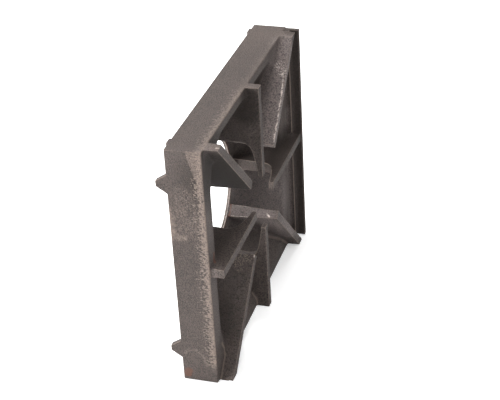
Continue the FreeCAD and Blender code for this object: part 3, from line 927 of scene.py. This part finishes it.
def build_floor_paint(colour, glow):
    """The floor's material, lifted towards white for the camera, and less so beside the part, which
    paints a soft contact shadow there.
    """
    material = bpy.data.materials.new("pale_floor")
    material.use_nodes = True
    shader = material.node_tree.nodes["Principled BSDF"]
    shader.inputs["Base Color"].default_value = (*colour, 1.0)
    shader.inputs["Roughness"].default_value = FLOOR_ROUGHNESS
    shader.inputs["Emission Color"].default_value = WHITE

    paint = NodeWork(material.node_tree)
    seen = paint.place("ShaderNodeLightPath").outputs["Is Camera Ray"]
    spot = paint.vector("ABSOLUTE", paint.place("ShaderNodeNewGeometry").outputs["Position"])
    beyond = paint.vector("SUBTRACT", spot, (CAST_HIGH[0], CAST_HIGH[1], 0.0))
    beyond = paint.vector("MAXIMUM", beyond, (0.0, 0.0, 0.0))
    away = paint.vector("LENGTH", beyond)
    # Less glow beside the part: a painted contact shadow
    lift = paint.ramp(away, 0.0, PAINTED_SHADOW_REACH, PAINTED_SHADOW_GLOW * glow, glow)
    paint.feed(shader.inputs["Emission Strength"], paint.multiply(seen, lift))
    return material


def add_floor(colour, glow):
    """A wide pale floor under the part."""
    mesh = bpy.data.meshes.new("floor")
    signs = ((-1, -1), (1, -1), (1, 1), (-1, 1))
    corners = [(x * FLOOR_REACH, y * FLOOR_REACH, 0.0) for x, y in signs]
    mesh.from_pydata(corners, [], [(0, 1, 2, 3)])
    mesh.materials.append(build_floor_paint(colour, glow))
    floor = bpy.data.objects.new("floor", mesh)
    bpy.context.scene.collection.objects.link(floor)


def add_surround(scene, strength):
    """The white room around the part."""
    world = bpy.data.worlds.new("studio")
    world.use_nodes = True
    sky = world.node_tree.nodes["Background"]
    sky.inputs["Color"].default_value = WHITE
    sky.inputs["Strength"].default_value = strength
    scene.world = world
    scene.view_settings.view_transform = "Standard"


def add_camera(scene):
    """The camera that sees the part from above, with the near rail on the left."""
    data = bpy.data.cameras.new("camera")
    data.sensor_width = SENSOR_WIDTH
    data.lens = FOCAL_LENGTH
    data.clip_end = CAMERA_SEES_TO
    camera = bpy.data.objects.new("camera", data)
    turn = Matrix((CAMERA_RIGHT, -CAMERA_DOWN, -CAMERA_AHEAD)).transposed().to_4x4()
    camera.matrix_world = Matrix.Translation(CAMERA_PLACE) @ turn
    scene.collection.objects.link(camera)
    scene.camera = camera


# Operators


class PANSUPPORT_OT_casting(bpy.types.Operator):
    """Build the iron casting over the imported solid, with its cast-iron finish"""

    bl_idname = "pan_support.casting"
    bl_label = "Iron Casting"
    bl_options = {"REGISTER", "UNDO"}

    def execute(self, context):
        settings = context.scene.pan_support_casting
        piece = build_casting(settings)
        if not piece.data.polygons:
            raise RuntimeError("the casting came out empty")
        piece.data.materials.append(build_iron(settings))
        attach(piece, "root")
        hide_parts(CAST_NODE)
        return {"FINISHED"}


class PANSUPPORT_OT_studio(bpy.types.Operator):
    """Add the pale floor, the soft lights and the camera"""

    bl_idname = "pan_support.studio"
    bl_label = "Studio"
    bl_options = {"REGISTER", "UNDO"}

    def execute(self, context):
        settings = context.scene.pan_support_studio
        add_floor(settings.floor, settings.floor_glow)
        for name, power, turn, rise in LIGHTS:
            add_panel_light(name, turn, rise, getattr(settings, power))
        add_surround(context.scene, settings.surround)
        add_camera(context.scene)
        return {"FINISHED"}


class PANSUPPORT_PT_panel(bpy.types.Panel):
    """The pan support's own panel in the sidebar"""

    bl_idname = "PANSUPPORT_PT_panel"
    bl_label = "Pan Support"
    bl_space_type = "VIEW_3D"
    bl_region_type = "UI"
    bl_category = "Pan Support"

    def draw(self, context):
        layout = self.layout
        for settings, operator in (("pan_support_casting", PANSUPPORT_OT_casting),
                                   ("pan_support_studio", PANSUPPORT_OT_studio)):
            box = layout.box()
            group = getattr(context.scene, settings)
            for name in group.__annotations__:
                box.prop(group, name)
            box.operator(operator.bl_idname)


CLASSES = (
    CastingSettings,
    StudioSettings,
    PANSUPPORT_OT_casting,
    PANSUPPORT_OT_studio,
    PANSUPPORT_PT_panel,
)


def register():
    """Add the classes and their settings."""
    for cls in CLASSES:
        bpy.utils.register_class(cls)
    bpy.types.Scene.pan_support_casting = PointerProperty(type=CastingSettings)
    bpy.types.Scene.pan_support_studio = PointerProperty(type=StudioSettings)


def unregister():
    """Take the classes and their settings away."""
    del bpy.types.Scene.pan_support_studio
    del bpy.types.Scene.pan_support_casting
    for cls in reversed(CLASSES):
        bpy.utils.unregister_class(cls)


def main():
    """Build every piece and the studio."""
    register()
    bpy.ops.pan_support.casting()
    bpy.ops.pan_support.studio()


if __name__ == "__main__":
    main()
